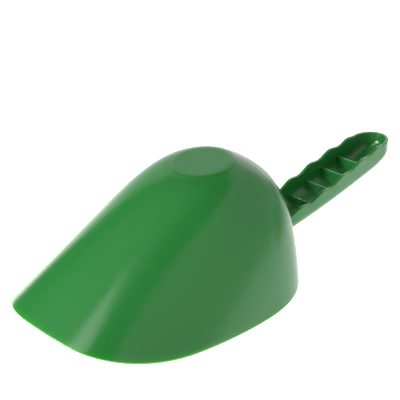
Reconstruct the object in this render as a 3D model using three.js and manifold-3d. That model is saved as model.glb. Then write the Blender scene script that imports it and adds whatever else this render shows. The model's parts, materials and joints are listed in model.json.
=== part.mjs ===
// Feed scoop: one plastic moulding, lying upside down on the rim of its bowl.
//
// Millimetres, +Z up. The rim's rear half lies in the plane Z = 0, the pouring lip points to -Y
// and sweeps up off that plane, and the handle points to +Y. X = 0 is the plane of symmetry, and
// the origin is the bottom centre of the bounding box.
// The moulding is drawn as its bowl, foot, handle and stiffening features, one body each.

import * as THREE from 'three';
import { mergeVertices } from 'three/addons/utils/BufferGeometryUtils.js';
import Module from 'manifold-3d';

const wasm = await Module();
wasm.setup();

// ---------------------------------------------------------------- driving dimensions

const WALL = 2.4;                   // wall thickness of the bowl
const GAP = 0.3;                    // clearance between neighbouring bodies

// bowl rim, seen in plan: a rounded square lip in front and a round back
const RIM_HALF_WIDTH = 72;
const RIM_CENTRE_Y = -56.35;
const RIM_FRONT = 107.3;            // widest section to the tip of the lip
const RIM_REAR = 73.7;              // widest section to the back of the bowl
const LIP_SIDE_POWER = 3.41;        // superellipse powers of the front half, across and along
const LIP_TIP_POWER = 2;
const REAR_POWER = 2.44;
const LIP_TAPER = 0.016;            // share of the width that the lip loses towards its tip
const LIP_LEAN = 1.4;               // how much longer an offset is where the front wall slants
const LIP_SWEEP = 11.5;             // rise of the tip off the rim plane
const LIP_SWEEP_SPAN = 0.33;        // share of the bowl's length that the sweep takes

// flat foot that the scoop stands on in use
const FOOT_RADIUS = 20.8;
const FOOT_Y = -34.5;
const FOOT_HEIGHT = 76.1;
const FOOT_TILT = THREE.MathUtils.degToRad(7.8);
const FOOT_STEP = 0.7;              // how far the foot stands proud of the bowl
const FOOT_CHAMFER = 0.5;
const GATE_RADIUS = 2.6;            // moulding gate in the middle of the foot
const GATE_DEPTH = 0.4;

// bowl profile: where the shoulder of each wall lies between rim (0) and foot (1)
const SHOULDER_PLAN = { rear: 0.024, front: 0.771 };
const SHOULDER_RISE = { rear: 0.846, front: 0.904 };
const SHOULDER_PULL = { rear: 0.792, front: 0.586 };

// handle: a channel, open on top, with finger grips along both edges
const HANDLE_START = 0;              // inside the bowl, before the bowl is cut away
const EDGE_START_Y = 13.8;           // the edges climb in a gentle S from here to the tip
const EDGE_START_HEIGHT = 16;
const EDGE_TIP_HEIGHT = 39.8;
const HANDLE_TIP_Y = 163.65;
const HANDLE_END_LENGTH = 18.4;      // length of the rounded end
const ROOT_HALF_WIDTH = 13.4;
const END_HALF_WIDTH = 14.2;
const MIDDLE_SWELL = 2.2;            // extra half width in the middle of the handle
const PALM_START_Y = 17.3;           // the palm side rises in a straight line from here
const PALM_START_HEIGHT = -0.6;
const PALM_PITCH = 0.167;
const PALM_CLEARANCE = 0.5;          // least height of the palm side above the rim plane
const PALM_RADIUS = 8;               // round corners of the palm side, outside
const HOLLOW_RADIUS = 8.5;           // and inside, so that the channel is U-shaped
const CORNER_SHARE = 0.8;            // most of the section's depth that a corner may take up
const PALM_SWEEP = 30;               // length over which the palm side curves up to the tip
const PALM_SWEEP_SHARE = 0.5;        // share of the depth that is left out by then
const HANDLE_WALL = 2.2;
const WALL_DRAFT = 0.07;             // share of its width that the hollow loses down to its floor
const GRIP_PITCH = 22.75;
const GRIP_WAVE = 1;                 // half the height of the waves along the edges
const GRIP_CREST_Y = 48.7;           // one crest of the wave
const GRIP_END_Y = 149.4;            // where the waves have faded out, near the tip
const GRIP_FADE = 12.6;

// stiffening features of the handle
const RIB_STATIONS = [29, 48, 67.5, 87.8, 106.5, 125.2];
const RIB_THICKNESS = 1.8;
const RIB_DROP = 7;                 // rib edge below the mean edge of the walls
const RIB_SAG = 0.2;                // extra drop in the middle of each rib
const FILLET_RADIUS = 10;           // where the handle's sides run into the back of the bowl
const FILLET_TIP = 0.7;             // thickness that the fillets keep at their thin ends
const FILLET_FOOT = 2;              // lower and upper ends of the fillets above the rim plane
const FILLET_TOP = 11.5;

// mesh fineness
const BOWL_SEGMENTS = 72;
const BOWL_ROWS = 14;
const HANDLE_STATIONS = 64;
const CORNER_STEPS = 8;

// ---------------------------------------------------------------- helpers

const mix = (a, b, t) => a + (b - a) * t;
const signedPower = (value, power) => Math.sign(value) * Math.abs(value) ** power;

// closed skin over a list of rings, all with the same number of points
function skin(rings, { closed }) {
  const size = rings[0].length;
  const positions = rings.flat().flatMap((p) => [p.x, p.y, p.z]);
  const index = [];
  const spans = closed ? rings.length : rings.length - 1;
  for (let row = 0; row < spans; row += 1) {
    const here = row * size;
    const next = ((row + 1) % rings.length) * size;
    for (let i = 0; i < size; i += 1) {
      const j = (i + 1) % size;
      index.push(here + i, here + j, next + j);
      index.push(here + i, next + j, next + i);
    }
  }
  if (!closed) {
    addCap(rings[0], 0, index, positions, false);
    addCap(rings[rings.length - 1], (rings.length - 1) * size, index, positions, true);
  }
  const geometry = new THREE.BufferGeometry();
  geometry.setAttribute('position', new THREE.Float32BufferAttribute(positions, 3));
  geometry.setIndex(index);
  return geometry;
}

// fan of triangles that closes one end of a skin
function addCap(ring, first, index, positions, facesForward) {
  const middle = new THREE.Vector3();
  ring.forEach((p) => middle.add(p));
  middle.divideScalar(ring.length);
  const centre = positions.length / 3;
  positions.push(middle.x, middle.y, middle.z);
  for (let i = 0; i < ring.length; i += 1) {
    const j = (i + 1) % ring.length;
    if (facesForward) index.push(first + i, first + j, centre);
    else index.push(first + j, first + i, centre);
  }
}

function toManifold(geometry) {
  const bare = geometry.clone();
  bare.deleteAttribute('normal');
  bare.deleteAttribute('uv');
  const merged = mergeVertices(bare, 1e-5);
  return new wasm.Manifold(new wasm.Mesh({
    numProp: 3,
    vertProperties: new Float32Array(merged.attributes.position.array),
    triVerts: new Uint32Array(merged.index.array),
  }));
}

function toGeometry(manifold) {
  const mesh = manifold.getMesh();
  const geometry = new THREE.BufferGeometry();
  geometry.setAttribute('position', new THREE.BufferAttribute(new Float32Array(mesh.vertProperties), 3));
  geometry.setIndex(new THREE.BufferAttribute(new Uint32Array(mesh.triVerts), 1));
  return geometry;
}

// ---------------------------------------------------------------- bowl

// rim point at an angle measured from the back of the bowl, grown outwards by `grow`
function rimPoint(angle, grow) {
  const across = Math.sin(angle);
  const along = Math.cos(angle);
  const inFront = along < 0;
  const sidePower = inFront ? LIP_SIDE_POWER : REAR_POWER;
  const tipPower = inFront ? LIP_TIP_POWER : REAR_POWER;
  const reach = signedPower(along, 2 / tipPower);
  const taper = inFront ? 1 + LIP_TAPER * reach : 1;
  const x = (RIM_HALF_WIDTH + grow) * signedPower(across, 2 / sidePower) * taper;
  const y = RIM_CENTRE_Y + (inFront ? RIM_FRONT + LIP_LEAN * grow : RIM_REAR + grow) * reach;
  return new THREE.Vector3(x, y, lipHeight(y));
}

// height of the rim's edge: flat at the back, swept up towards the tip of the lip
function lipHeight(y) {
  const share = (y - (RIM_CENTRE_Y - RIM_FRONT)) / (RIM_FRONT + RIM_REAR);
  const sweep = THREE.MathUtils.clamp((LIP_SWEEP_SPAN - share) / LIP_SWEEP_SPAN, 0, 1);
  return LIP_SWEEP * sweep ** 2;
}

// point of the tilted foot plane, `depth` below it
function footPoint(angle, radius, depth) {
  const along = radius * Math.cos(angle);
  return new THREE.Vector3(
    radius * Math.sin(angle),
    FOOT_Y + along * Math.cos(FOOT_TILT) + depth * Math.sin(FOOT_TILT),
    FOOT_HEIGHT + along * Math.sin(FOOT_TILT) - depth * Math.cos(FOOT_TILT),
  );
}

// one meridian of the bowl from foot to rim: a cubic curve pulled towards the wall's shoulder
function meridian(angle, { grow, footRadius, depth }) {
  const rim = rimPoint(angle, grow);
  const foot = footPoint(angle, footRadius, depth);
  const front = (1 - Math.cos(angle)) / 2;
  const plan = mix(SHOULDER_PLAN.rear, SHOULDER_PLAN.front, front);
  const rise = mix(SHOULDER_RISE.rear, SHOULDER_RISE.front, front);
  const pull = mix(SHOULDER_PULL.rear, SHOULDER_PULL.front, front);
  const shoulder = new THREE.Vector3(
    mix(rim.x, foot.x, plan),
    mix(rim.y, foot.y, plan),
    mix(rim.z, foot.z, rise),
  );
  const nearFoot = foot.clone().lerp(shoulder, pull);
  const nearRim = rim.clone().lerp(shoulder, pull);
  return new THREE.CubicBezierCurve3(foot, nearFoot, nearRim, rim);
}

// rings of the bowl's surface from the foot down to the rim
function bowlRings(surface) {
  const rings = [];
  for (let row = 0; row <= BOWL_ROWS; row += 1) rings.push([]);
  for (let i = 0; i < BOWL_SEGMENTS; i += 1) {
    const curve = meridian((2 * Math.PI * i) / BOWL_SEGMENTS, surface);
    for (let row = 0; row <= BOWL_ROWS; row += 1) rings[row].push(curve.getPoint(row / BOWL_ROWS));
  }
  return rings;
}

function bowlShell() {
  const outside = bowlRings({ grow: 0, footRadius: FOOT_RADIUS, depth: FOOT_STEP });
  const inside = bowlRings({ grow: -WALL, footRadius: FOOT_RADIUS, depth: FOOT_STEP + WALL });
  return skin([...outside, ...inside.reverse()], { closed: true });
}

// the bowl's outer form without its hollow, grown by `grow`, to cut its neighbours to shape
function bowlBlock(grow) {
  return toManifold(skin(bowlRings({ grow, footRadius: FOOT_RADIUS, depth: FOOT_STEP - grow }), { closed: false }));
}

function footDisc() {
  const radius = FOOT_RADIUS - GAP;
  const bottom = -(FOOT_STEP + WALL);
  const profile = [
    new THREE.Vector2(0, bottom),
    new THREE.Vector2(radius, bottom),
    new THREE.Vector2(radius, -FOOT_CHAMFER),
    new THREE.Vector2(radius - FOOT_CHAMFER, 0),
    new THREE.Vector2(GATE_RADIUS, 0),
    new THREE.Vector2(GATE_RADIUS - GATE_DEPTH, -GATE_DEPTH),
    new THREE.Vector2(0, -GATE_DEPTH),
  ];
  const geometry = new THREE.LatheGeometry(profile, BOWL_SEGMENTS);
  geometry.rotateX(Math.PI / 2);
  return geometry;
}

// ---------------------------------------------------------------- handle

const HANDLE_END_Y = HANDLE_TIP_Y - HANDLE_END_LENGTH;

// height of the open edges without the finger grips
function meanEdge(y) {
  const share = THREE.MathUtils.smoothstep(y, EDGE_START_Y, HANDLE_TIP_Y);
  return mix(EDGE_START_HEIGHT, EDGE_TIP_HEIGHT, share);
}

// height of the open edges, with a wave for each finger
function grippedEdge(y) {
  const fade = THREE.MathUtils.clamp((GRIP_END_Y - y) / GRIP_FADE, 0, 1);
  return meanEdge(y) + fade * GRIP_WAVE * Math.cos((2 * Math.PI * (y - GRIP_CREST_Y)) / GRIP_PITCH);
}

// height of the palm side, which curves up towards the handle's tip
function palmHeight(y) {
  const line = PALM_START_HEIGHT + PALM_PITCH * (y - PALM_START_Y);
  const sweep = THREE.MathUtils.clamp((y - (HANDLE_TIP_Y - PALM_SWEEP)) / PALM_SWEEP, 0, 1);
  const lift = PALM_SWEEP_SHARE * (meanEdge(y) - line) * sweep ** 2.5;
  return Math.max(line + lift, PALM_CLEARANCE);
}

function halfWidth(y, inset) {
  const share = THREE.MathUtils.clamp((y - EDGE_START_Y) / (HANDLE_END_Y - EDGE_START_Y), 0, 1);
  const swell = MIDDLE_SWELL * Math.sin(Math.PI * share);
  const straight = mix(ROOT_HALF_WIDTH, END_HALF_WIDTH, share) + swell - inset;
  const past = THREE.MathUtils.clamp((y - HANDLE_END_Y) / (HANDLE_END_LENGTH - inset), 0, 1);
  return straight * Math.sqrt(Math.max(1 - past ** 2, 1e-4));
}

// section of the handle: open edge, wall, rounded palm side and back up the other wall
function handleSection(y, { inset, radius, draft = 0, top }) {
  const half = halfWidth(y, inset);
  const bottom = palmHeight(y) + inset;
  const floorHalf = half * (1 - draft);
  const corner = Math.min(radius, floorHalf * 0.9, CORNER_SHARE * (meanEdge(y) - bottom));
  const lean = (half - floorHalf) / (meanEdge(y) - bottom - corner);
  const ring = [new THREE.Vector3(half + lean * (top(y) - meanEdge(y)), y, top(y))];
  for (let step = 0; step <= CORNER_STEPS; step += 1) {
    const turn = (Math.PI / 2) * (step / CORNER_STEPS);
    ring.push(new THREE.Vector3(
      floorHalf - corner + corner * Math.cos(turn), y, bottom + corner - corner * Math.sin(turn)));
  }
  const mirrored = ring.map((p) => new THREE.Vector3(-p.x, p.y, p.z)).reverse();
  return [...ring, ...mirrored];
}

// stations along the handle, closer together round its end
function stations(inset) {
  const list = [];
  for (let i = 0; i <= HANDLE_STATIONS; i += 1) {
    list.push(mix(HANDLE_START, HANDLE_END_Y, i / HANDLE_STATIONS));
  }
  const rounds = 8;
  for (let i = 1; i <= rounds; i += 1) {
    list.push(HANDLE_END_Y + (HANDLE_END_LENGTH - inset) * Math.sin((Math.PI / 2) * (i / rounds)));
  }
  return list;
}

function handleBlock(shape) {
  return toManifold(skin(stations(shape.inset).map((y) => handleSection(y, shape)), { closed: false }));
}

const aboveEdge = (y) => meanEdge(y) + 20;

// the channel's hollow, drawn in by `inset` and open at the top
const hollowBlock = (inset) => handleBlock({
  inset, radius: HOLLOW_RADIUS, draft: WALL_DRAFT, top: aboveEdge,
});

function handleChannel() {
  const outside = handleBlock({ inset: 0, radius: PALM_RADIUS, top: grippedEdge });
  return toGeometry(outside.subtract(hollowBlock(HANDLE_WALL)).subtract(bowlBlock(GAP)));
}

// cross rib at one station, filling the channel up to a slightly hollow edge
function crossRib(y) {
  const outline = new THREE.Shape();
  const half = halfWidth(y, 0);
  const edge = meanEdge(y) - RIB_DROP;
  outline.moveTo(-half, edge);
  outline.lineTo(-half, 0);
  outline.lineTo(half, 0);
  outline.lineTo(half, edge);
  outline.quadraticCurveTo(0, edge - 2 * RIB_SAG, -half, edge);
  const plate = new THREE.ExtrudeGeometry(outline, {
    depth: RIB_THICKNESS, bevelEnabled: false, curveSegments: 10,
  });
  plate.rotateX(Math.PI / 2);
  plate.translate(0, y + RIB_THICKNESS / 2, 0);
  return toGeometry(toManifold(plate).intersect(hollowBlock(HANDLE_WALL + GAP)));
}

// hollow fillet on one side of the handle's root (side is 1 or -1), against the back of the bowl
function rootFillet(side) {
  const behind = RIM_CENTRE_Y + RIM_REAR;
  const wall = halfWidth(behind + FILLET_RADIUS, 0);
  const reach = wall + FILLET_RADIUS;
  const outline = new THREE.Shape();
  outline.moveTo(wall - WALL, behind - FILLET_RADIUS);
  outline.lineTo(reach, behind - FILLET_RADIUS);
  outline.lineTo(reach, behind + FILLET_TIP);
  outline.absarc(reach, behind + FILLET_RADIUS, FILLET_RADIUS - FILLET_TIP, 1.5 * Math.PI, Math.PI, true);
  outline.lineTo(wall - WALL, behind + FILLET_RADIUS);
  outline.closePath();
  const plate = new THREE.ExtrudeGeometry(outline, {
    depth: FILLET_TOP - FILLET_FOOT, bevelEnabled: false, curveSegments: 2 * CORNER_STEPS,
  });
  plate.translate(0, 0, FILLET_FOOT);
  let solid = toManifold(plate);
  if (side < 0) solid = solid.mirror([1, 0, 0]);
  const handle = handleBlock({ inset: -GAP, radius: PALM_RADIUS, top: aboveEdge });
  return toGeometry(solid.subtract(handle).subtract(bowlBlock(GAP)));
}

// ---------------------------------------------------------------- assembly

const plastic = () => new THREE.MeshStandardMaterial({ color: 0x2f8a3c, roughness: 0.34, metalness: 0 });

function part(name, geometry) {
  const mesh = new THREE.Mesh(geometry, plastic());
  mesh.name = name;
  return mesh;
}

const scoop = new THREE.Group();
scoop.add(part('bowl_shell', bowlShell()));

const foot = part('foot_disc', footDisc());
foot.position.set(0, FOOT_Y, FOOT_HEIGHT);
foot.rotation.x = FOOT_TILT;
scoop.add(foot);

scoop.add(part('handle_channel', handleChannel()));
scoop.add(part('root_fillet_left', rootFillet(-1)));
scoop.add(part('root_fillet_right', rootFillet(1)));
RIB_STATIONS.forEach((y, i) => scoop.add(part(`cross_rib_${i + 1}`, crossRib(y))));

export default scoop;
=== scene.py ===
"""Feed scoop, lying rim down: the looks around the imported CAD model.

The scoop is one green plastic moulding. Each CAD node is replaced by a fine surface of the same
size, worked out from that node's box and the shape constants below. Metres, in the CAD's frame:
+Z up, -Y towards the pouring lip, +Y towards the end of the handle.
"""

import json
import math

import bmesh
import bpy
import numpy as np
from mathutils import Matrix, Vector


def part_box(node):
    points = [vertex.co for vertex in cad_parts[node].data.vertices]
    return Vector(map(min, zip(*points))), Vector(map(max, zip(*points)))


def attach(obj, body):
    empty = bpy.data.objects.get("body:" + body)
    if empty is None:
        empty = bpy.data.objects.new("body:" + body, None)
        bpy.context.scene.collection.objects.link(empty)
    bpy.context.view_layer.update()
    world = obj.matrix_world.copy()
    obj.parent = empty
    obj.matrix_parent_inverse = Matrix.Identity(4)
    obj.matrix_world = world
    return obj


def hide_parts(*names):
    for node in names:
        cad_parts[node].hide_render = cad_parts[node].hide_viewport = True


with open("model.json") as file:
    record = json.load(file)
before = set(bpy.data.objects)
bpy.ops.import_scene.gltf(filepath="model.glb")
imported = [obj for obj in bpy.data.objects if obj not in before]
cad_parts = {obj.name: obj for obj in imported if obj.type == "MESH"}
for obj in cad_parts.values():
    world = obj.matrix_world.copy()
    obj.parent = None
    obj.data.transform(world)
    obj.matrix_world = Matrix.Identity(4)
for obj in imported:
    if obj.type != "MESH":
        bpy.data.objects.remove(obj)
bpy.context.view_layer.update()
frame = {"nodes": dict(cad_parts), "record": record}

MM = 0.001

# ---------------------------------------------------------------- driving dimensions

WALL = 2.4 * MM

# bowl: powers of the superellipse rim, and how far along its length the parts of it lie
LIP_SIDE_POWER = 3.41
LIP_TIP_POWER = 2.0
REAR_POWER = 2.44
LIP_TAPER = 0.016
LIP_LEAN = 1.4
LIP_SHARE = 107.3 / 181.0           # widest section to the tip of the lip, over the bowl's length
LIP_SWEEP = 11.5 * MM
LIP_SWEEP_SPAN = 0.33
SHOULDER_PLAN = (0.024, 0.771)      # rear, front
SHOULDER_RISE = (0.846, 0.904)
SHOULDER_PULL = (0.792, 0.586)

# foot: its plane comes from the record's mount
FOOT_STEP = 0.7 * MM
FOOT_GAP = 0.3 * MM
FOOT_OVERLAP = 0.6 * MM             # how far the bowl reaches under the foot's edge

# handle
EDGE_START_Y = 13.8 * MM
EDGE_START_HEIGHT = 16 * MM
HANDLE_END_LENGTH = 18.4 * MM
ROOT_HALF_WIDTH = 13.4 * MM
END_HALF_WIDTH = 14.2 * MM
MIDDLE_SWELL = 2.2 * MM
PALM_START_HEIGHT = -0.6 * MM
PALM_PITCH = 0.167
PALM_CLEARANCE = 0.5 * MM
PALM_RADIUS = 8 * MM
HOLLOW_RADIUS = 8.5 * MM
CORNER_SHARE = 0.8
TIP_CORNER = 3.5 * MM               # the palm's corner tightens to this round the tip
PALM_SWEEP = 30 * MM
PALM_SWEEP_SHARE = 0.5
HANDLE_WALL = 2.2 * MM
WALL_DRAFT = 0.07
GRIP_PITCH = 22.75 * MM
GRIP_WAVE = 1 * MM
GRIP_CREST_Y = 48.7 * MM
GRIP_END_Y = 149.4 * MM
GRIP_FADE = 12.6 * MM

# fine features that the CAD leaves out
EDGE_ROUND = 0.45 * MM              # corners of the handle's top edge
RIPPLE = 0.16 * MM                  # outward swell of the handle's walls below each grip's crest
RIPPLE_DEPTH = 3.5 * MM             # how far below the edge it has mostly gone
RIB_THICKNESS = 1.8 * MM
RIB_SAG = 0.2 * MM
RIB_FLARE = 0.5 * MM                # small fillet where a rib meets the walls and the floor
ROOT_EMBED = 1.3 * MM               # how far the handle reaches into the bowl's wall
FILLET_RADIUS = 10 * MM


def mix(a, b, t):
    return a + (b - a) * t


def smoothstep(value, low, high):
    share = np.clip((value - low) / (high - low), 0, 1)
    return share * share * (3 - 2 * share)


def signed_power(value, power):
    return np.sign(value) * np.abs(value) ** power


# ---------------------------------------------------------------- mesh helpers

def add_piece(name, vertices, faces, material, *, replaces, smooth_angle=40, edge_light_weight=None):
    """Adds a mesh piece. The per-vertex weight of the painted edge light is 1 at a free edge, fading
    to 0 away from it.
    """
    mesh = bpy.data.meshes.new(name)
    mesh.from_pydata([tuple(v) for v in vertices], [], faces)
    values = np.zeros(len(vertices)) if edge_light_weight is None else np.asarray(edge_light_weight, float)
    mesh.attributes.new("edge_light_weight", "FLOAT", "POINT").data.foreach_set("value", values)
    weld(mesh)
    mesh.materials.append(material)
    piece = bpy.data.objects.new(name, mesh)
    bpy.context.scene.collection.objects.link(piece)
    bpy.context.view_layer.objects.active = piece
    piece.select_set(True)
    bpy.ops.object.shade_smooth_by_angle(angle=math.radians(smooth_angle))
    piece.select_set(False)
    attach(piece, "root")
    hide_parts(*replaces)


def weld(mesh):
    """Joins points that coincide, drops faces without area and turns all faces outwards."""
    work = bmesh.new()
    work.from_mesh(mesh)
    bmesh.ops.remove_doubles(work, verts=work.verts, dist=1e-6)
    bmesh.ops.dissolve_degenerate(work, edges=work.edges, dist=1e-6)
    bmesh.ops.recalc_face_normals(work, faces=work.faces)
    work.to_mesh(mesh)
    work.free()
    mesh.validate()
    mesh.update()


def grid_faces(rows, columns, *, wrap_rows=False, wrap_columns=False):
    """Quads over a grid of points stored row by row."""
    faces = []
    for row in range(rows if wrap_rows else rows - 1):
        here, there = row * columns, ((row + 1) % rows) * columns
        for i in range(columns if wrap_columns else columns - 1):
            j = (i + 1) % columns
            faces.append((here + i, here + j, there + j, there + i))
    return faces


# ---------------------------------------------------------------- bowl

BOWL_LOW, BOWL_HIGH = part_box("bowl_shell")
RIM_HALF_WIDTH = BOWL_HIGH.x
BOWL_LENGTH = BOWL_HIGH.y - BOWL_LOW.y
RIM_FRONT = LIP_SHARE * BOWL_LENGTH
RIM_REAR = BOWL_LENGTH - RIM_FRONT
RIM_CENTRE_Y = BOWL_LOW.y + RIM_FRONT

MOUNTS = {mount["name"]: mount for mount in frame["record"]["mounts"]}
FOOT_POINT = Vector(MOUNTS["foot_face"]["pos_m"])
FOOT_AXIS = np.array(Vector(MOUNTS["foot_face"]["axis"]).normalized())
FOOT_CENTRE = np.array((0, FOOT_POINT.y, FOOT_POINT.z))
FOOT_ALONG = np.array((0, FOOT_AXIS[2], -FOOT_AXIS[1]))
FOOT_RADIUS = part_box("foot_disc")[1].x + FOOT_GAP

BOWL_SEGMENTS = 320
BOWL_ROWS = 90
RIM_ROUND_STEPS = 8
RIM_ROUND_ROWS = 2                  # rows next to the rim that its rounding replaces
RIM_GLOW = 4 * MM                   # depth over which light still comes through the rim


def lip_height(y):
    share = (y - BOWL_LOW.y) / BOWL_LENGTH
    sweep = np.clip((LIP_SWEEP_SPAN - share) / LIP_SWEEP_SPAN, 0, 1)
    return LIP_SWEEP * sweep ** 2


def rim_points(angles, grow):
    """Rim points at angles measured from the back of the bowl, grown outwards by `grow`."""
    across, along = np.sin(angles), np.cos(angles)
    front = along < 0
    reach = signed_power(along, 2 / np.where(front, LIP_TIP_POWER, REAR_POWER))
    side = signed_power(across, 2 / np.where(front, LIP_SIDE_POWER, REAR_POWER))
    taper = np.where(front, 1 + LIP_TAPER * reach, 1)
    x = (RIM_HALF_WIDTH + grow) * side * taper
    y = RIM_CENTRE_Y + np.where(front, RIM_FRONT + LIP_LEAN * grow, RIM_REAR + grow) * reach
    return np.stack([x, y, lip_height(y)], -1)


def foot_points(angles, radius, depth):
    centre = FOOT_CENTRE - depth * FOOT_AXIS
    return (centre + radius * np.sin(angles)[:, None] * np.array([1, 0, 0])
            + radius * np.cos(angles)[:, None] * FOOT_ALONG)


def bowl_surface(angles, steps, grow, radius, depth):
    """Points of one side of the bowl's wall, foot to rim, as an array (steps, angles, 3)."""
    rim = rim_points(angles, grow)
    foot = foot_points(angles, radius, depth)
    front = ((1 - np.cos(angles)) / 2)[:, None]
    plan = mix(*SHOULDER_PLAN, front)
    rise = mix(*SHOULDER_RISE, front)
    pull = mix(*SHOULDER_PULL, front)
    shoulder = mix(rim, foot, plan)
    shoulder[:, 2:] = mix(rim[:, 2:], foot[:, 2:], rise)
    near_foot, near_rim = mix(foot, shoulder, pull), mix(rim, shoulder, pull)
    t = steps[:, None, None]
    return ((1 - t) ** 3 * foot + 3 * t * (1 - t) ** 2 * near_foot
            + 3 * t ** 2 * (1 - t) * near_rim + t ** 3 * rim)


def even_angles(count):
    """Angles round the rim at equal distances along it."""
    fine = np.linspace(0, 2 * np.pi, 20 * count + 1)
    points = rim_points(fine, 0)
    length = np.concatenate([[0], np.cumsum(np.linalg.norm(np.diff(points, axis=0), axis=1))])
    return np.interp(np.linspace(0, length[-1], count, endpoint=False), length, fine)


def make_bowl(material):
    angles = np.linspace(0, 2 * np.pi, BOWL_SEGMENTS, endpoint=False)
    angles = mix(angles, even_angles(BOWL_SEGMENTS), 0.6)
    steps = np.linspace(0, 1, BOWL_ROWS)
    radius = FOOT_RADIUS - FOOT_OVERLAP
    outside = bowl_surface(angles, steps, 0, radius, FOOT_STEP)
    inside = bowl_surface(angles, steps, -WALL, radius, FOOT_STEP + WALL)
    # rounded edge of the rim: a half turn from the outer wall to the inner one
    middle, half = (outside[-1] + inside[-1]) / 2, (outside[-1] - inside[-1]) / 2
    down = outside[-1] - outside[-2]
    down /= np.linalg.norm(down, axis=1)[:, None]
    sink = down * np.linalg.norm(half, axis=1)[:, None] * 0.8
    edge = [middle - sink + half * math.cos(turn) + sink * math.sin(turn)
            for turn in np.linspace(0, math.pi, RIM_ROUND_STEPS + 2)]
    rings = np.concatenate([outside[:-RIM_ROUND_ROWS], edge, inside[:-RIM_ROUND_ROWS][::-1]])
    # weight of the painted light shining through the plastic: 1 at the rim's edge, fading over
    # RIM_GLOW
    away = np.linalg.norm(rings - middle, axis=2) - WALL / 2
    edge_light_weight = np.clip(1 - away / RIM_GLOW, 0, 1)
    faces = grid_faces(len(rings), BOWL_SEGMENTS, wrap_rows=True, wrap_columns=True)
    add_piece("bowl", rings.reshape(-1, 3), faces, material, replaces=["bowl_shell"],
              smooth_angle=50, edge_light_weight=edge_light_weight.ravel())


# foot disc: radius from its axis and height over the foot plane, in millimetres. A shallow dish
# with the gate mark in its middle, and a soft sloping edge that runs out into the bowl
FOOT_PROFILE = [(0.0, -0.10), (0.7, -0.10), (1.4, -0.09), (2.2, -0.07), (3.2, -0.07),
                (6.0, -0.09), (9.0, -0.09), (12.0, -0.07), (14.5, -0.03), (16.0, -0.01),
                (17.0, -0.03), (18.0, -0.09), (18.8, -0.18), (19.5, -0.31), (20.1, -0.46),
                (20.5, -0.58), (20.8, -0.68), (20.8, -2.6), (20.3, -3.05), (12.0, -3.1),
                (0.0, -3.1)]
FOOT_SEGMENTS = 160


def make_foot(material):
    angles = np.linspace(0, 2 * np.pi, FOOT_SEGMENTS, endpoint=False)
    rings = []
    for radius, height in FOOT_PROFILE:
        rings.append(foot_points(angles, radius * MM, -height * MM))
    faces = grid_faces(len(rings), FOOT_SEGMENTS, wrap_columns=True)
    add_piece("foot", np.concatenate(rings), faces, material, replaces=["foot_disc"],
              smooth_angle=60)


# ---------------------------------------------------------------- handle

HANDLE_TIP_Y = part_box("handle_channel")[1].y
EDGE_TIP_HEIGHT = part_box("handle_channel")[1].z
HANDLE_END_Y = HANDLE_TIP_Y - HANDLE_END_LENGTH
PALM_START_Y = BOWL_HIGH.y

HANDLE_STATIONS = 190               # along each straight side
TIP_TURNS = 40                      # round each half of the tip
WALL_STEPS = 14
CORNER_STEPS = 8
FLOOR_STEPS = 5
LAND_STEPS = 3
SIDE_EDGE_LIGHT = 0.5                 # weight of the painted edge light along the sides of the top edge; 1 at the tip


def mean_edge(y):
    return mix(EDGE_START_HEIGHT, EDGE_TIP_HEIGHT, smoothstep(y, EDGE_START_Y, HANDLE_TIP_Y))


def grip_wave(y):
    """Wave of the finger grips, from -1 to 1, fading out towards the handle's tip."""
    fade = np.clip((GRIP_END_Y - y) / GRIP_FADE, 0, 1)
    return fade * np.cos(2 * np.pi * (y - GRIP_CREST_Y) / GRIP_PITCH)


def palm_height(y):
    line = PALM_START_HEIGHT + PALM_PITCH * (y - PALM_START_Y)
    sweep = np.clip((y - (HANDLE_TIP_Y - PALM_SWEEP)) / PALM_SWEEP, 0, 1)
    lift = PALM_SWEEP_SHARE * (mean_edge(y) - line) * sweep ** 2.5
    return np.maximum(line + lift, PALM_CLEARANCE)


def side_width(y, inset):
    """Half width of the handle, drawn in by `inset`, as if its tip were not rounded."""
    share = np.clip((y - EDGE_START_Y) / (HANDLE_END_Y - EDGE_START_Y), 0, 1)
    return mix(ROOT_HALF_WIDTH, END_HALF_WIDTH, share) + MIDDLE_SWELL * np.sin(np.pi * share) - inset


def half_outline(inset):
    """Right half of the handle's plan from root to tip: points (x, y), drawn in by `inset`."""
    straight = np.linspace(BOWL_HIGH.y - ROOT_EMBED, HANDLE_END_Y, HANDLE_STATIONS)
    turns = np.linspace(0, np.pi / 2, TIP_TURNS + 1)[1:]
    y = np.concatenate([straight, HANDLE_END_Y + (HANDLE_END_LENGTH - inset) * np.sin(turns)])
    x = side_width(y, inset) * np.concatenate([np.ones(HANDLE_STATIONS), np.cos(turns)])
    return np.stack([x, y], -1)


def outline_inward(outline):
    """Unit normals of a half outline, pointing into the handle."""
    along = np.gradient(outline, axis=0)
    along[-1] = (-1, 0)
    inward = np.stack([-along[:, 1], along[:, 0]], -1)
    return inward / np.linalg.norm(inward, axis=1)[:, None]


def corner_radius(y, inset, largest):
    at_tip = smoothstep(y, HANDLE_END_Y, HANDLE_TIP_Y - inset)
    largest = mix(largest, TIP_CORNER, at_tip)
    return np.minimum(largest, CORNER_SHARE * (mean_edge(y) - palm_height(y) - inset))


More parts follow.
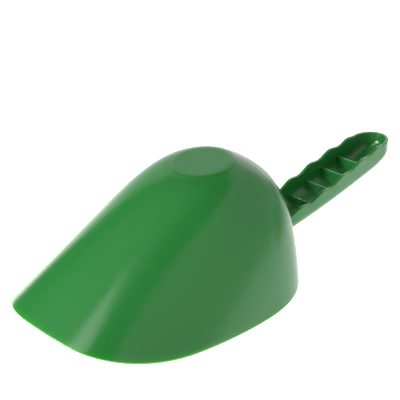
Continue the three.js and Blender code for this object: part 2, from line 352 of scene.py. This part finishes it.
def wall_rows(inset, top, *, largest, draft, swell):
    """Rows of points from the top of a wall down to the handle's centre line, (rows, points, 3)."""
    outline = half_outline(inset)
    inward = outline_inward(outline)
    y = outline[:, 1]
    radius = corner_radius(y, inset, largest)
    lean = draft * side_width(y, inset)
    foot_z = palm_height(y) + inset + radius
    rows = []
    for share in np.linspace(0, 1, WALL_STEPS):
        z = mix(top, foot_z, share)
        shift = lean * (mean_edge(y) - z) / (mean_edge(y) - foot_z)
        shift = shift - swell * grip_wave(y) * np.exp(-(top - z) / RIPPLE_DEPTH)
        rows.append(np.column_stack([outline + inward * shift[:, None], z]))
    for turn in np.linspace(0, np.pi / 2, CORNER_STEPS + 1)[1:]:
        shift = lean + radius * (1 - math.cos(turn))
        plan = outline + inward * shift[:, None]
        z = palm_height(plan[:, 1]) + inset + radius * (1 - math.sin(turn))
        rows.append(np.column_stack([plan, z]))
    # floor: straight across to the centre line, and like a fan inside the rounded tip
    border = rows[-1][:, :2]
    spine = np.column_stack([np.zeros(len(y)), np.minimum(border[:, 1], fan_start())])
    for share in np.linspace(0, 1, FLOOR_STEPS + 1)[1:]:
        plan = mix(border, spine, share)
        rows.append(np.column_stack([plan, palm_height(plan[:, 1]) + inset]))
    return np.array(rows)


def fan_start():
    """y where the rounded tip's floor starts to spread like a fan."""
    return HANDLE_END_Y + HANDLE_END_LENGTH - END_HALF_WIDTH


def make_handle(material):
    y_out, y_in = half_outline(0)[:, 1], half_outline(HANDLE_WALL)[:, 1]
    top_out = mean_edge(y_out) + GRIP_WAVE * grip_wave(y_out)
    top_in = mean_edge(y_in) + GRIP_WAVE * grip_wave(y_in)
    outer = wall_rows(0, top_out - EDGE_ROUND, largest=PALM_RADIUS, draft=0, swell=RIPPLE)
    inner = wall_rows(HANDLE_WALL, top_in - EDGE_ROUND, largest=HOLLOW_RADIUS,
                      draft=WALL_DRAFT, swell=0)
    # top edge: a rounded corner, a flat land and another rounded corner
    start, stop = outer[0], inner[0]
    across = stop - start
    across[:, 2] = 0
    across /= np.linalg.norm(across, axis=1)[:, None]
    up = np.array([0, 0, 1])
    edge = []
    for turn in np.linspace(0, np.pi / 2, 5)[1:]:
        edge.append(start + EDGE_ROUND * ((1 - math.cos(turn)) * across + math.sin(turn) * up))
    for turn in np.linspace(np.pi / 2, 0, 5)[:-1]:
        edge.append(stop + EDGE_ROUND * ((math.cos(turn) - 1) * across + math.sin(turn) * up))
    land = [mix(edge[3], edge[4], share) for share in np.linspace(0, 1, LAND_STEPS + 2)[1:-1]]
    half = np.concatenate([outer[::-1], edge[:4], land, edge[4:], inner])
    # both halves: the right one from root to tip, then the left one from tip to root
    left = half[:, ::-1] * np.array([-1, 1, 1])
    rows = np.concatenate([half, left[:, 1:]], axis=1)
    count, columns = rows.shape[:2]
    faces = grid_faces(count, columns)
    root = [row * columns for row in range(count)]
    root += [row * columns + columns - 1 for row in reversed(range(count))]
    faces.append(tuple(root))
    edge_first, edge_last = len(outer), len(outer) + len(edge) + len(land) - 1
    # weight of the painted light shining through the top edge: part along the sides, full at the tip
    edge_light_weight = np.zeros((count, columns))
    towards_tip = smoothstep(rows[0, :, 1], fan_start(), HANDLE_TIP_Y)
    edge_light_weight[edge_first:edge_last + 1] = mix(SIDE_EDGE_LIGHT, 1, towards_tip)
    add_piece("handle", rows.reshape(-1, 3), faces, material, replaces=["handle_channel"],
              smooth_angle=35, edge_light_weight=edge_light_weight.ravel())


# ---------------------------------------------------------------- ribs and root fillets

RIB_COUNT = sum(name.startswith("cross_rib_") for name in frame["nodes"])
RIB_COLUMNS = 48
RIB_ROWS = 14
RIB_OVERLAP = 0.6 * MM              # how far a rib reaches into the walls and the floor


def channel_floor(x, y, inset):
    """Height of the channel's floor, corners included, at distances x from the centre line."""
    half = side_width(y, inset) * (1 - WALL_DRAFT)
    radius = corner_radius(y, inset, HOLLOW_RADIUS)
    past = np.clip(np.abs(x) - (half - radius), 0, radius)
    return palm_height(y) + inset + radius - np.sqrt(radius ** 2 - past ** 2)


def make_rib(index, material):
    """A thin cross wall with a slightly hollow, rounded top and small fillets all round it."""
    name = f"cross_rib_{index}"
    low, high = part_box(name)
    y = (low.y + high.y) / 2
    wall = side_width(y, HANDLE_WALL)
    reach = wall + RIB_OVERLAP
    x = reach * np.sin(np.linspace(-np.pi / 2, np.pi / 2, RIB_COLUMNS))
    top = high.z - RIB_SAG * (1 - (x / wall) ** 2)
    foot = channel_floor(x, y, HANDLE_WALL - RIB_OVERLAP)
    floor = channel_floor(x, y, HANDLE_WALL)
    half = RIB_THICKNESS / 2
    rows, sides = [], []
    for share in np.linspace(0, 1, RIB_ROWS):
        z = mix(foot, top - half * 0.8, share)
        depth = (mean_edge(y) - z) / (mean_edge(y) - palm_height(y))
        from_wall = wall * (1 - WALL_DRAFT * depth) - np.abs(x)
        near = np.clip(1 - np.minimum(z - floor, from_wall) / RIB_FLARE, 0, 1)
        rows.append(z)
        sides.append(half * mix(0.86, 1, 1 - share) + RIB_FLARE * (1 - np.sqrt(1 - near ** 2)))
    for turn in np.linspace(0, np.pi / 2, 6)[1:]:
        rows.append(top - half * 0.8 * (1 - math.sin(turn)))
        sides.append(sides[RIB_ROWS - 1] * math.cos(turn))
    front = [np.column_stack([x, y - side, z]) for side, z in zip(sides, rows)]
    back = [np.column_stack([x, y + side, z]) for side, z in zip(sides, rows)]
    rings = np.array(front + back[::-1])
    count = len(rings)
    faces = grid_faces(count, RIB_COLUMNS, wrap_rows=True)
    faces.append(tuple(row * RIB_COLUMNS for row in range(count)))
    faces.append(tuple(row * RIB_COLUMNS + RIB_COLUMNS - 1 for row in reversed(range(count))))
    add_piece(name.replace("cross_", ""), rings.reshape(-1, 3), faces, material,
              replaces=[name], smooth_angle=50)


def bowl_back(x):
    """y of the bowl's outer wall at its back, near the rim plane."""
    return RIM_CENTRE_Y + RIM_REAR * (1 - (abs(x) / RIM_HALF_WIDTH) ** REAR_POWER) ** (1 / REAR_POWER)


FILLET_ARC_STEPS = 20
FILLET_LEVELS = 22
FILLET_END_SHARE = 0.55             # the fillet's radius at its ends, over its full radius
FILLET_BEND = 0.6
FILLET_SINK = 0.1 * MM              # how far the visible arc's ends lie inside the walls
FILLET_BACK = 1 * MM                # how far its hidden back lies inside them


def make_fillet(side, name, material):
    """Hollow fillet where one side of the handle runs into the back of the bowl."""
    low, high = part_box(name)
    rings = []
    for level in np.linspace(-1, 1, FILLET_LEVELS):
        # the fillet's radius grows quickly from its ends, so that it fades into the walls
        fullness = math.sqrt(max(1 - level ** 2, 0)) ** 0.8
        radius = FILLET_RADIUS * mix(FILLET_END_SHARE, 1, fullness)
        z = mix(low.z, high.z, (level + 1) / 2)
        end_y = BOWL_HIGH.y + radius
        wall_x = side_width(end_y, 0)
        end_x = wall_x + radius
        corner_y = bowl_back(wall_x)
        start = np.array([wall_x - FILLET_SINK, end_y])
        end = np.array([end_x, bowl_back(end_x) - FILLET_SINK])
        first = mix(start, np.array([wall_x, corner_y]), FILLET_BEND)
        second = mix(end, np.array([wall_x, corner_y + 0.5 * MM]), FILLET_BEND)
        ring = []
        for t in np.linspace(0, 1, FILLET_ARC_STEPS):
            point = ((1 - t) ** 3 * start + 3 * t * (1 - t) ** 2 * first
                     + 3 * t ** 2 * (1 - t) * second + t ** 3 * end)
            ring.append((side * point[0], point[1], z))
        ring.append((side * end_x, bowl_back(end_x) - FILLET_BACK, z))
        ring.append((side * (wall_x - FILLET_BACK), corner_y - FILLET_BACK, z))
        ring.append((side * (wall_x - FILLET_BACK), end_y, z))
        rings.append(ring)
    size = len(rings[0])
    faces = grid_faces(FILLET_LEVELS, size, wrap_columns=True)
    faces.append(tuple(range(size)))
    faces.append(tuple(reversed(range((FILLET_LEVELS - 1) * size, FILLET_LEVELS * size))))
    add_piece(name, np.array(rings).reshape(-1, 3), faces, material, replaces=[name],
              smooth_angle=50)


# ---------------------------------------------------------------- materials

# the plastic's colours, in linear light
GREEN_BASE = (0.0200, 0.176, 0.0335, 1)
GREEN_DEEP = (0.0188, 0.168, 0.0315, 1)
GREEN_PAINTED_EDGE_LIGHT = (0.022, 0.240, 0.020, 1)   # painted light: brighter green towards a free edge, standing in for light shining through the thin wall
GREEN_GLOW = (0.14, 0.50, 0.07, 1)      # light that comes through the edge itself
SPECK = (0.030, 0.210, 0.045, 1)
SCUFF = (0.10, 0.30, 0.12, 1)

SPECK_SHARE = 0.35
SCUFF_SHARE = 0.04
GLOW_START = 0.92                       # edge weight at which the painted glow starts
ROUGH_LOW, ROUGH_HIGH = 0.17, 0.23
SCUFF_ROUGHNESS = 0.04
PEEL_DEPTH = 0.012 * MM
WAVE_DEPTH = 0.05 * MM
SCUFF_DEPTH = 0.01 * MM
PLASTIC_IOR = 1.49
SCATTER_SHARE = 0.12
SCATTER_RADIUS = (0.4, 1.0, 0.4)
SCATTER_DEPTH = 1.5 * MM


class Nodes:
    """Short way to add and link the nodes of one material or world."""

    def __init__(self, owner):
        owner.use_nodes = True
        self.tree = owner.node_tree
        self.shader = self.tree.nodes.get("Principled BSDF")

    def add(self, kind, inputs=None, **settings):
        node = self.tree.nodes.new(kind)
        for name, value in settings.items():
            setattr(node, name, value)
        for name, value in (inputs or {}).items():
            self.feed(node.inputs[name], value)
        return node

    def feed(self, socket, value):
        if isinstance(value, bpy.types.NodeSocket):
            self.tree.links.new(value, socket)
        else:
            socket.default_value = value

    def ramp(self, value, low, high):
        """Value mapped smoothly from low..high to 0..1."""
        node = self.add("ShaderNodeMapRange", {"Value": value, "From Min": low, "From Max": high},
                        interpolation_type="SMOOTHSTEP")
        return node.outputs["Result"]

    def noise(self, scale, detail=2.0, rough=0.5, distortion=0.0, vector=None):
        node = self.add("ShaderNodeTexNoise", {"Scale": scale, "Detail": detail, "Roughness": rough,
                                               "Distortion": distortion, "Vector": vector})
        return node.outputs["Fac"]

    def math(self, operation, *values):
        node = self.add("ShaderNodeMath", operation=operation)
        for socket, value in zip(node.inputs, values):
            self.feed(socket, value)
        return node.outputs[0]

    def blend(self, factor, a, b, mode="MIX"):
        node = self.add("ShaderNodeMix", data_type="RGBA", blend_type=mode)
        self.feed(node.inputs["Factor"], factor)
        self.feed(node.inputs["A"], a)
        self.feed(node.inputs["B"], b)
        return node.outputs["Result"]


def scratches(kit, vector, turn, scale):
    """Thin straight scuffs in one direction, as a value from 0 to 1, only in some patches."""
    stretched = kit.add("ShaderNodeMapping", {"Vector": vector, "Rotation": turn, "Scale": scale})
    lines = kit.noise(1.0, detail=1.0, vector=stretched.outputs["Vector"])
    patches = kit.noise(24.0, detail=1.0, vector=vector)
    return kit.math("MULTIPLY", kit.ramp(lines, 0.66, 0.72), kit.ramp(patches, 0.5, 0.66))


def plastic():
    """Injection-moulded polypropylene: slow flow marks, fine pigment, light scuffs, orange peel."""
    material = bpy.data.materials.new("green_plastic")
    kit = Nodes(material)
    place = kit.add("ShaderNodeTexCoord").outputs["Object"]
    painted_edge_light = kit.add("ShaderNodeAttribute", attribute_name="edge_light_weight").outputs["Fac"]

    flow = kit.noise(14.0, detail=3.0, rough=0.5, distortion=0.8, vector=place)
    pigment = kit.noise(1400.0, detail=2.0, rough=0.6, vector=place)
    scuffs = kit.math("MAXIMUM",
                      scratches(kit, place, (0.2, 0.1, 0.7), (900.0, 30.0, 300.0)),
                      scratches(kit, place, (0.1, 0.3, -0.4), (1100.0, 24.0, 260.0)))

    colour = kit.blend(kit.ramp(flow, 0.3, 0.7), GREEN_DEEP, GREEN_BASE)
    specks = kit.math("MULTIPLY", kit.ramp(pigment, 0.55, 0.8), SPECK_SHARE)
    colour = kit.blend(specks, colour, SPECK)
    colour = kit.blend(kit.math("MULTIPLY", scuffs, SCUFF_SHARE), colour, SCUFF)
    # painted light: towards free edges the colour turns brighter, then glows, standing in for light
    # shining through the thin plastic
    colour = kit.blend(kit.math("POWER", painted_edge_light, 2.0), colour, GREEN_PAINTED_EDGE_LIGHT)
    colour = kit.blend(kit.ramp(painted_edge_light, GLOW_START, 1.0), colour, GREEN_GLOW)
    kit.feed(kit.shader.inputs["Base Color"], colour)

    worn = kit.noise(45.0, detail=4.0, rough=0.6, vector=place)
    rough = kit.add("ShaderNodeMapRange", {"Value": worn, "From Min": 0.3, "From Max": 0.7,
                                           "To Min": ROUGH_LOW, "To Max": ROUGH_HIGH})
    rough = kit.math("ADD", rough.outputs["Result"], kit.math("MULTIPLY", scuffs, SCUFF_ROUGHNESS))
    kit.feed(kit.shader.inputs["Roughness"], rough)

    peel = kit.noise(420.0, detail=2.0, rough=0.5, vector=place)
    wave = kit.noise(38.0, detail=1.0, vector=place)
    bump = kit.add("ShaderNodeBump", {"Height": peel, "Strength": 0.35, "Distance": PEEL_DEPTH})
    bump = kit.add("ShaderNodeBump", {"Height": wave, "Strength": 0.5, "Distance": WAVE_DEPTH,
                                      "Normal": bump.outputs["Normal"]})
    bump = kit.add("ShaderNodeBump", {"Height": scuffs, "Strength": 0.3, "Distance": SCUFF_DEPTH,
                                      "Normal": bump.outputs["Normal"]}, invert=True)
    kit.feed(kit.shader.inputs["Normal"], bump.outputs["Normal"])
    kit.shader.inputs["IOR"].default_value = PLASTIC_IOR
    kit.shader.inputs["Subsurface Weight"].default_value = SCATTER_SHARE
    kit.shader.inputs["Subsurface Radius"].default_value = SCATTER_RADIUS
    kit.shader.inputs["Subsurface Scale"].default_value = SCATTER_DEPTH
    return material


GREEN = plastic()
make_bowl(GREEN)
make_foot(GREEN)
make_handle(GREEN)
for rib in range(1, RIB_COUNT + 1):
    make_rib(rib, GREEN)
make_fillet(-1, "root_fillet_left", GREEN)
make_fillet(1, "root_fillet_right", GREEN)

# ---------------------------------------------------------------- camera, floor and lights

AZIMUTH = math.radians(44.89)
ELEVATION = math.radians(25.62)
DISTANCE = 0.58644
AIM = Vector((-0.01182, -0.02434, 0.04185))
LENS = 81
SENSOR_WIDTH = 36

FLOOR_SIZE = 8
FLOOR_GLOW = 1.1
FLOOR_GLOW_BEHIND = 0.5             # weaker glow of the floor behind the scoop, seen from the camera
TOWARDS_BEHIND = (-0.80, 0.60, 0)
BEHIND_FROM, BEHIND_TO = 0.04, 0.15     # distances behind the origin over which it weakens

LIGHTS_AIM = Vector((0, -0.05, 0.04))
LIGHTS_DISTANCE = 1.3

# brightness of the parts of the studio round the scoop
WALL_LIGHT = 0.72
CEILING_LIGHT = 0.05
HORIZON_LIGHT, HORIZON_TURN = 0.62, 0.50    # mean, and how much more there is towards +X
PATCH_LIGHT = 0.75
GLOW_LIGHT = 0.3
NOTCH_DEPTH = 0.62


def make_camera():
    data = bpy.data.cameras.new("camera")
    data.lens = LENS
    data.sensor_width = SENSOR_WIDTH
    camera = bpy.data.objects.new("camera", data)
    bpy.context.scene.collection.objects.link(camera)
    back = Vector((math.sin(AZIMUTH) * math.cos(ELEVATION),
                   -math.cos(AZIMUTH) * math.cos(ELEVATION),
                   math.sin(ELEVATION)))
    camera.location = AIM + DISTANCE * back
    camera.rotation_euler = back.to_track_quat("Z", "Y").to_euler()
    bpy.context.scene.camera = camera


def make_floor():
    """Pale floor lit from below as well, like a light table, so that it stays white."""
    bpy.ops.mesh.primitive_plane_add(size=FLOOR_SIZE, location=(0, 0, 0))
    floor = bpy.context.active_object
    floor.name = "floor"
    material = bpy.data.materials.new("floor")
    kit = Nodes(material)
    place = kit.add("ShaderNodeTexCoord").outputs["Object"]
    grain = kit.ramp(kit.noise(60.0, detail=3.0, vector=place), 0.2, 0.8)
    paper = kit.blend(grain, (0.88, 0.88, 0.88, 1), (0.92, 0.92, 0.92, 1))
    kit.feed(kit.shader.inputs["Base Color"], paper)
    kit.shader.inputs["Roughness"].default_value = 0.9
    kit.shader.inputs["Specular IOR Level"].default_value = 0.1
    kit.shader.inputs["Emission Color"].default_value = (1, 1, 1, 1)
    behind = kit.add("ShaderNodeVectorMath", {"Vector": place}, operation="DOT_PRODUCT")
    behind.inputs[1].default_value = TOWARDS_BEHIND
    far = kit.ramp(behind.outputs["Value"], BEHIND_FROM, BEHIND_TO)
    kit.feed(kit.shader.inputs["Emission Strength"],
             kit.math("MULTIPLY_ADD", far, FLOOR_GLOW_BEHIND - FLOOR_GLOW, FLOOR_GLOW))
    floor.data.materials.append(material)


def softbox(name, azimuth, elevation, size, radiance):
    """Rectangular light facing the scoop, from a bearing (0 is +X, 90 is +Y) and an elevation."""
    data = bpy.data.lights.new(name, "AREA")
    data.shape = "RECTANGLE"
    data.size, data.size_y = size
    data.energy = radiance * math.pi * size[0] * size[1]
    light = bpy.data.objects.new(name, data)
    bpy.context.scene.collection.objects.link(light)
    turn, rise = math.radians(azimuth), math.radians(elevation)
    away = Vector((math.cos(turn) * math.cos(rise), math.sin(turn) * math.cos(rise), math.sin(rise)))
    light.location = LIGHTS_AIM + LIGHTS_DISTANCE * away
    light.rotation_euler = away.to_track_quat("Z", "Y").to_euler()


def make_world():
    """Studio round the scoop: a pale wall on the +Y side with a slanting top, a bright band along
    the horizon with a dark notch in it, a brighter patch beyond the handle and a weak glow over the
    lip, with the ceiling and the other side left dark."""
    world = bpy.data.worlds.new("world")
    bpy.context.scene.world = world
    kit = Nodes(world)
    towards = kit.add("ShaderNodeTexCoord").outputs["Generated"]
    height = kit.add("ShaderNodeSeparateXYZ", {"Vector": towards}).outputs["Z"]

    def facing(direction):
        node = kit.add("ShaderNodeVectorMath", operation="DOT_PRODUCT")
        kit.feed(node.inputs[0], towards)
        kit.feed(node.inputs[1], Vector(direction).normalized())
        return node.outputs["Value"]

    # wall: two upright edges and a slanting top
    side = kit.math("MAXIMUM", kit.ramp(facing((0.21, 0.98, 0)), -0.012, 0.012),
                    kit.ramp(facing((0.512, 0.851, -0.118)), -0.012, 0.012))
    below_top = kit.ramp(facing((-0.276, -0.094, 0.956)), 0.812, 0.788)
    wall = kit.math("MULTIPLY", side, below_top)
    horizon = kit.math("MULTIPLY", kit.ramp(height, 0.22, 0.02),
                       kit.math("MULTIPLY_ADD", facing((1, 0.1, 0)), HORIZON_TURN, HORIZON_LIGHT))
    patch = kit.ramp(facing((-0.46, 0.86, 0.21)), 0.895, 0.955)
    glow = kit.ramp(facing((-0.44, -0.36, 0.82)), 0.82, 0.97)
    notch = kit.math("MULTIPLY", kit.ramp(facing((0.208, 0.978, 0.03)), 0.883, 0.906),
                     kit.ramp(height, 0.26, 0.12))
    notch = kit.math("MULTIPLY", notch, kit.ramp(height, -0.10, 0.0))
    total = kit.math("MULTIPLY_ADD", wall, WALL_LIGHT, CEILING_LIGHT)
    total = kit.math("ADD", total, horizon)
    total = kit.math("MULTIPLY_ADD", patch, PATCH_LIGHT, total)
    total = kit.math("MULTIPLY_ADD", glow, GLOW_LIGHT, total)
    total = kit.math("MULTIPLY", total, kit.math("MULTIPLY_ADD", notch, -NOTCH_DEPTH, 1.0))
    background = kit.tree.nodes["Background"]
    background.inputs["Color"].default_value = (1, 1, 1, 1)
    kit.feed(background.inputs["Strength"], total)


make_camera()
make_floor()
make_world()
softbox("key", -110, 44, (0.52, 1.05), 3.1)
softbox("fill", -118, 22, (0.60, 0.50), 19)
bpy.context.scene.view_settings.view_transform = "Standard"
